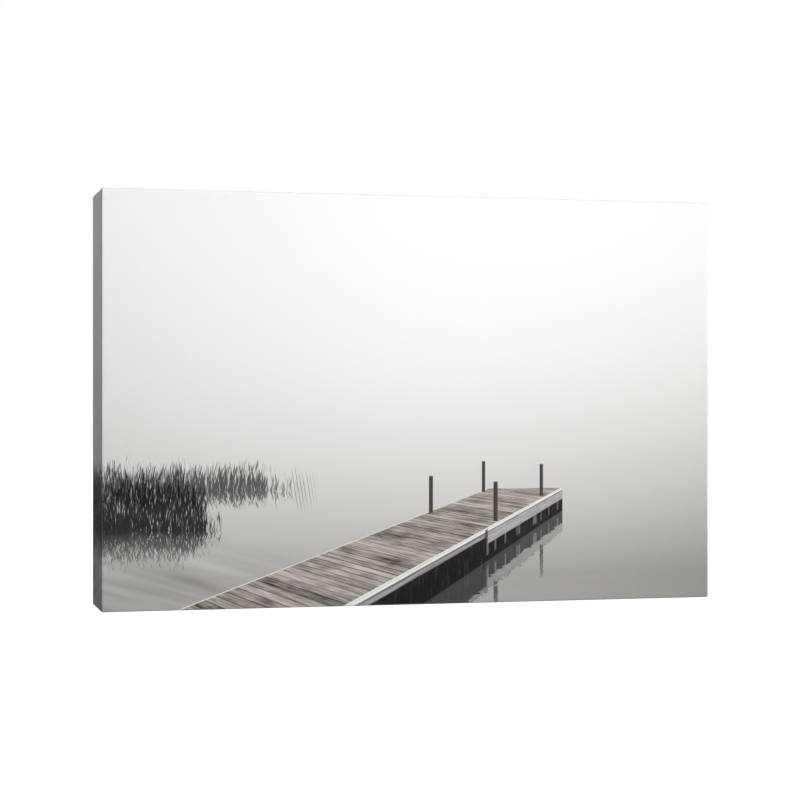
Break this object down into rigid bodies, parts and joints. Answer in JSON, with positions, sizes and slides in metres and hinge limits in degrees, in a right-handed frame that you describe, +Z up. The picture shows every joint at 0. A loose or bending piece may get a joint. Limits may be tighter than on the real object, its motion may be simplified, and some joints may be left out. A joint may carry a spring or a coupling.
{
  "type": "stretched canvas print",
  "caption": "Gallery-wrapped canvas print on a deep wooden stretcher with slotted mitred corners, sliding tapered keys, a sawtooth hanger and rubber wall pads.",
  "frame": {"origin": "middle of the base: half way along the width and half way through the total depth, at the height of the lower face", "axes": "+X to the right when the print is seen from the front, -Y out of the printed front, +Y towards the wall, +Z up"},
  "size_m": [0.305, 0.0424, 0.199],
  "materials": {
    "canvas": "matte printed cotton canvas, bare and cream on the back",
    "stretcher_pine": "planed bare pine",
    "key_wood": "planed bare hardwood",
    "staple_steel": "zinc plated",
    "hanger_steel": "brass plated",
    "nail_steel": "brass plated",
    "pad_rubber": "matte"
  },
  "bodies": {
    "print": {"canvas": "canvas", "bottom_bar": "stretcher_pine", "top_bar": "stretcher_pine", "left_bar": "stretcher_pine", "right_bar": "stretcher_pine", "bottom_staples": "staple_steel", "top_staples": "staple_steel", "left_staples": "staple_steel", "right_staples": "staple_steel", "sawtooth_hanger": "hanger_steel", "hanger_nails": "nail_steel", "left_wall_pad": "pad_rubber", "right_wall_pad": "pad_rubber"},
    "bottom_left_rail_key": {"bottom_left_rail_key": "key_wood"},
    "bottom_left_side_key": {"bottom_left_side_key": "key_wood"},
    "bottom_right_rail_key": {"bottom_right_rail_key": "key_wood"},
    "bottom_right_side_key": {"bottom_right_side_key": "key_wood"},
    "top_left_rail_key": {"top_left_rail_key": "key_wood"},
    "top_left_side_key": {"top_left_side_key": "key_wood"},
    "top_right_rail_key": {"top_right_rail_key": "key_wood"},
    "top_right_side_key": {"top_right_side_key": "key_wood"}
  },
  "joints": [
    {"name": "bottom_left_rail_key_slide", "type": "slide", "parent": "print", "child": "bottom_left_rail_key", "axis": [0, 0, 1], "range_m": [0, 0.022]},
    {"name": "bottom_left_side_key_slide", "type": "slide", "parent": "print", "child": "bottom_left_side_key", "axis": [1, 0, 0], "range_m": [0, 0.022]},
    {"name": "bottom_right_rail_key_slide", "type": "slide", "parent": "print", "child": "bottom_right_rail_key", "axis": [0, 0, 1], "range_m": [0, 0.022]},
    {"name": "bottom_right_side_key_slide", "type": "slide", "parent": "print", "child": "bottom_right_side_key", "axis": [-1, 0, 0], "range_m": [0, 0.022]},
    {"name": "top_left_rail_key_slide", "type": "slide", "parent": "print", "child": "top_left_rail_key", "axis": [0, 0, -1], "range_m": [0, 0.022]},
    {"name": "top_left_side_key_slide", "type": "slide", "parent": "print", "child": "top_left_side_key", "axis": [1, 0, 0], "range_m": [0, 0.022]},
    {"name": "top_right_rail_key_slide", "type": "slide", "parent": "print", "child": "top_right_rail_key", "axis": [0, 0, -1], "range_m": [0, 0.022]},
    {"name": "top_right_side_key_slide", "type": "slide", "parent": "print", "child": "top_right_side_key", "axis": [-1, 0, 0], "range_m": [0, 0.022]}
  ]
}
